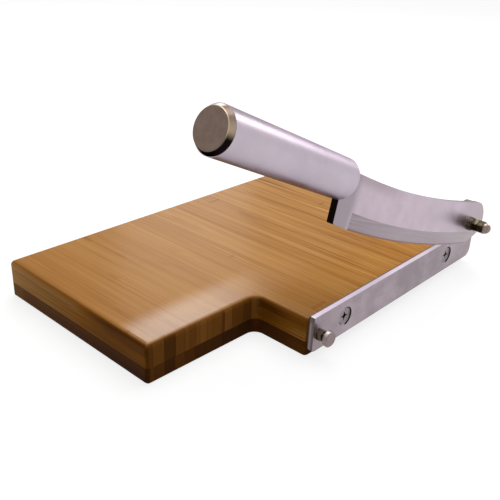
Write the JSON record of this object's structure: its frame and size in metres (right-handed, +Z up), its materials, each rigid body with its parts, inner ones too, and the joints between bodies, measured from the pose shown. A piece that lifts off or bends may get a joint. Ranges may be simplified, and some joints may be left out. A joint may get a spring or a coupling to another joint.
{
  "type": "lever slicer",
  "caption": "Tabletop lever slicer for dried meat: a bowed single-bevel blade with a tube handle, hinged on a steel rail at the edge of a notched bamboo board.",
  "frame": {"origin": "centre of the board's flat underside, which is the rest face", "axes": "+X across the board towards the cutting rail, +Y along the board from the user's end towards the hinge, +Z up"},
  "size_m": [0.2436, 0.3406, 0.195],
  "materials": {
    "bamboo": "oiled bamboo strips, satin",
    "satin_steel": "fine satin stainless steel",
    "bright_fastener": "bright nickel plating",
    "bronze_cap": "dark bronze-toned face with a polished rim"
  },
  "bodies": {
    "base": {"board_top_layer": "bamboo", "board_bottom_layer": "bamboo", "cutting_rail": "satin_steel", "rail_screws": "bright_fastener", "pivot_bolt": "bright_fastener", "pivot_head_washer": "bright_fastener", "blade_spacer_washer": "bright_fastener", "pivot_outer_washer": "bright_fastener", "pivot_spring_washer": "bright_fastener", "pivot_nut": "bright_fastener", "pivot_dome_nut": "bright_fastener", "stop_bolt": "bright_fastener", "stop_nut": "bright_fastener"},
    "blade_lever": {"blade": "satin_steel", "handle_tube": "satin_steel", "handle_front_plug": "satin_steel", "handle_end_cap": "bronze_cap"}
  },
  "joints": [
    {"name": "blade_hinge", "type": "hinge", "parent": "base", "child": "blade_lever", "pos_m": [0.1152, 0.1425, 0.0445], "axis": [-1, 0, 0], "range_deg": [-21.6, 160]}
  ]
}
